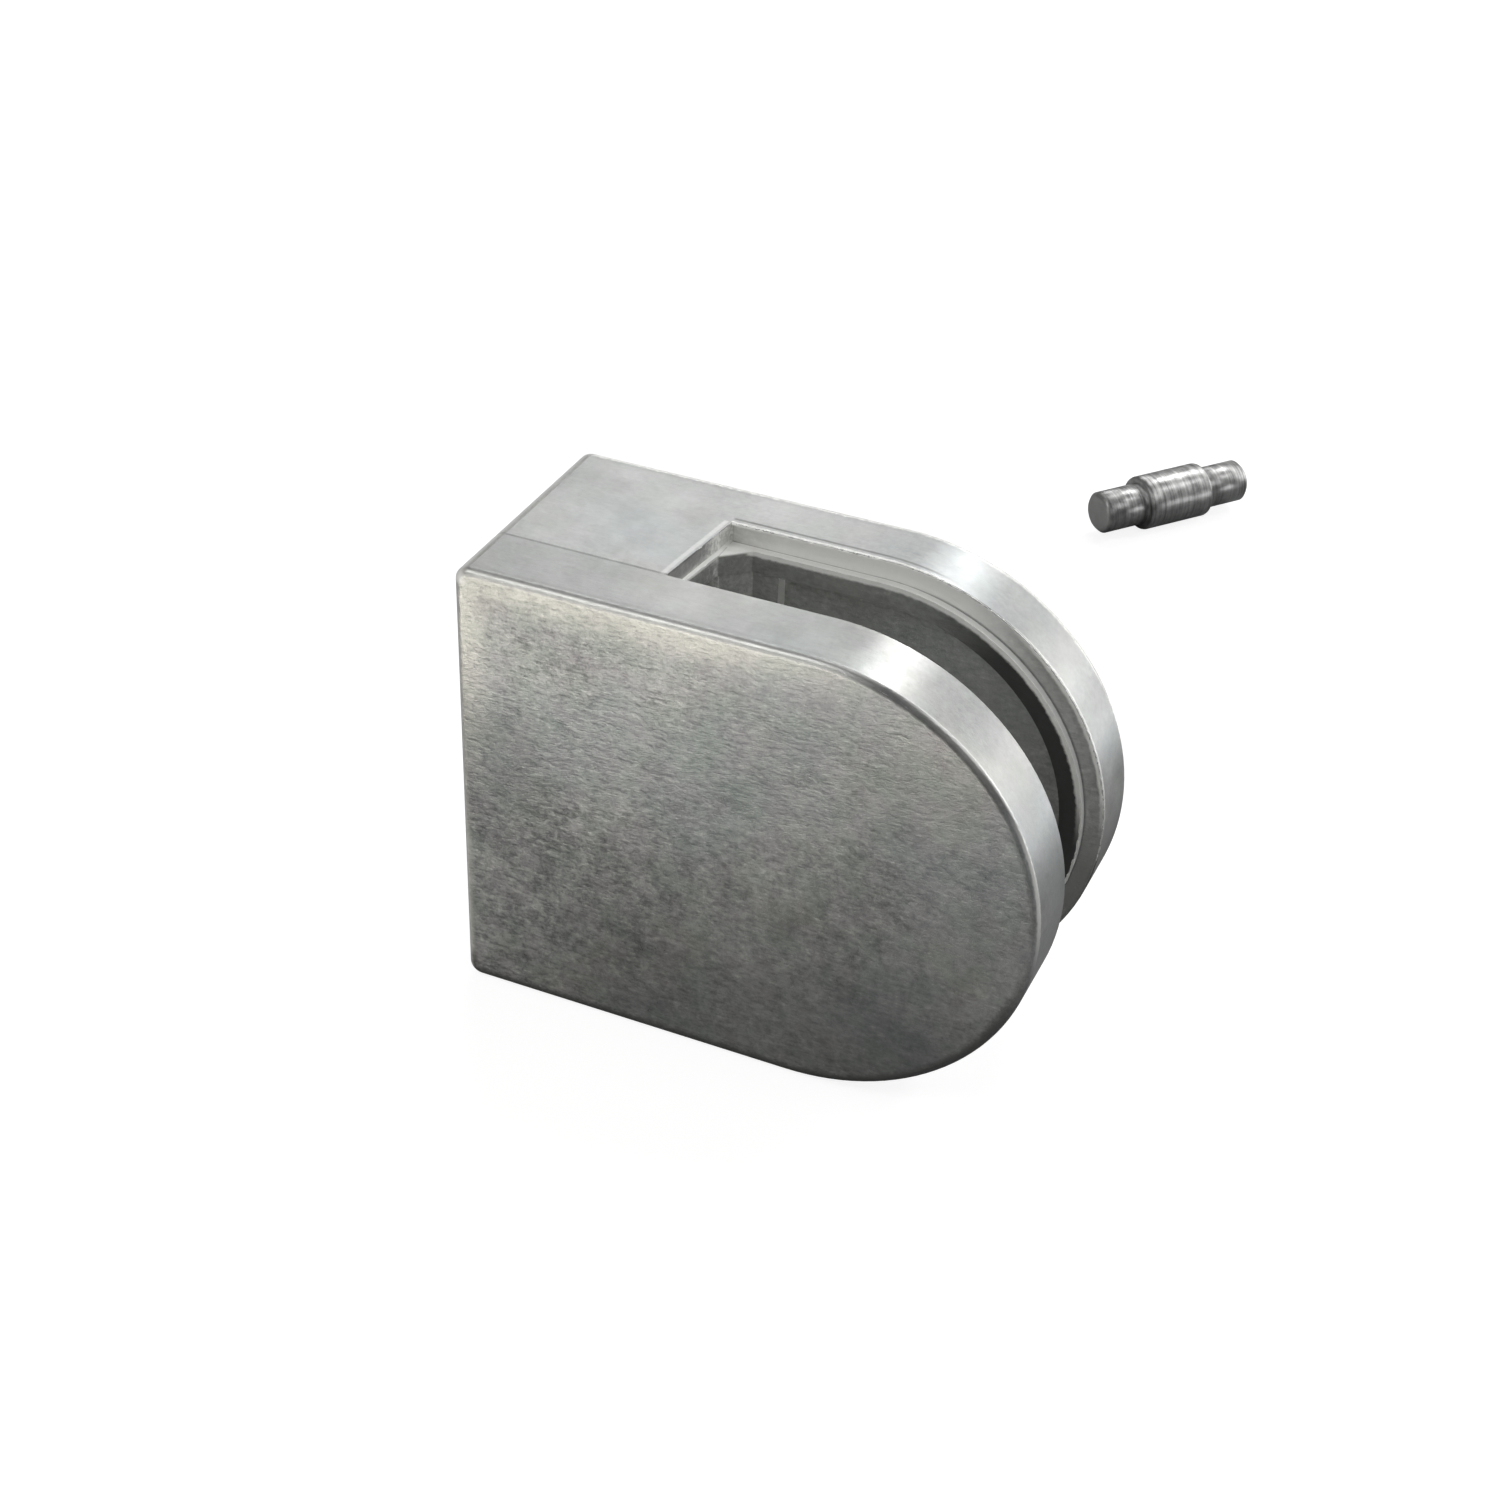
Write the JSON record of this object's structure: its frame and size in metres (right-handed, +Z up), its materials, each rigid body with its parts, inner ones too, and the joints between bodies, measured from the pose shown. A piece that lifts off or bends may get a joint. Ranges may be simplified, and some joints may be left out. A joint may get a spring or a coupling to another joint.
{
  "type": "glass panel clamp",
  "caption": "Clamp for a glass panel: a cast block with a flat back, two jaws with a round end and a slot between them, countersunk clamp screws and a loose stepped safety pin.",
  "frame": {"origin": "on the flat back face, on the axis of the hole for the wall bolt", "axes": "+X from the flat back towards the round end, +Y from the cover towards the rear jaw, +Z up"},
  "size_m": [0.0495, 0.1134, 0.04],
  "materials": {
    "zinc_casting": "satin",
    "screw_steel": "satin",
    "pin_steel": "satin"
  },
  "bodies": {
    "base": {"base_jaw": "zinc_casting", "safety_pin": "pin_steel"},
    "cover": {"front_jaw": "zinc_casting"},
    "upper_screw": {"clamp_screw_upper": "screw_steel"},
    "lower_screw": {"clamp_screw_lower": "screw_steel"}
  },
  "joints": [
    {"name": "cover_slide", "type": "slide", "parent": "base", "child": "cover", "axis": [0, -1, 0], "range_m": [0, 0.004]},
    {"name": "upper_screw_turn", "type": "hinge", "parent": "base", "child": "upper_screw", "pos_m": [0.00765, 0, 0.0125], "axis": [0, 1, 0], "range_deg": [0, 1440]},
    {"name": "lower_screw_turn", "type": "hinge", "parent": "base", "child": "lower_screw", "pos_m": [0.00765, 0, -0.0125], "axis": [0, 1, 0], "range_deg": [0, 1440]}
  ],
  "couplings": [
    {"joint": "upper_screw_turn", "follows": "cover_slide", "rad_per_m": 6283.2},
    {"joint": "lower_screw_turn", "follows": "cover_slide", "rad_per_m": 6283.2}
  ]
}
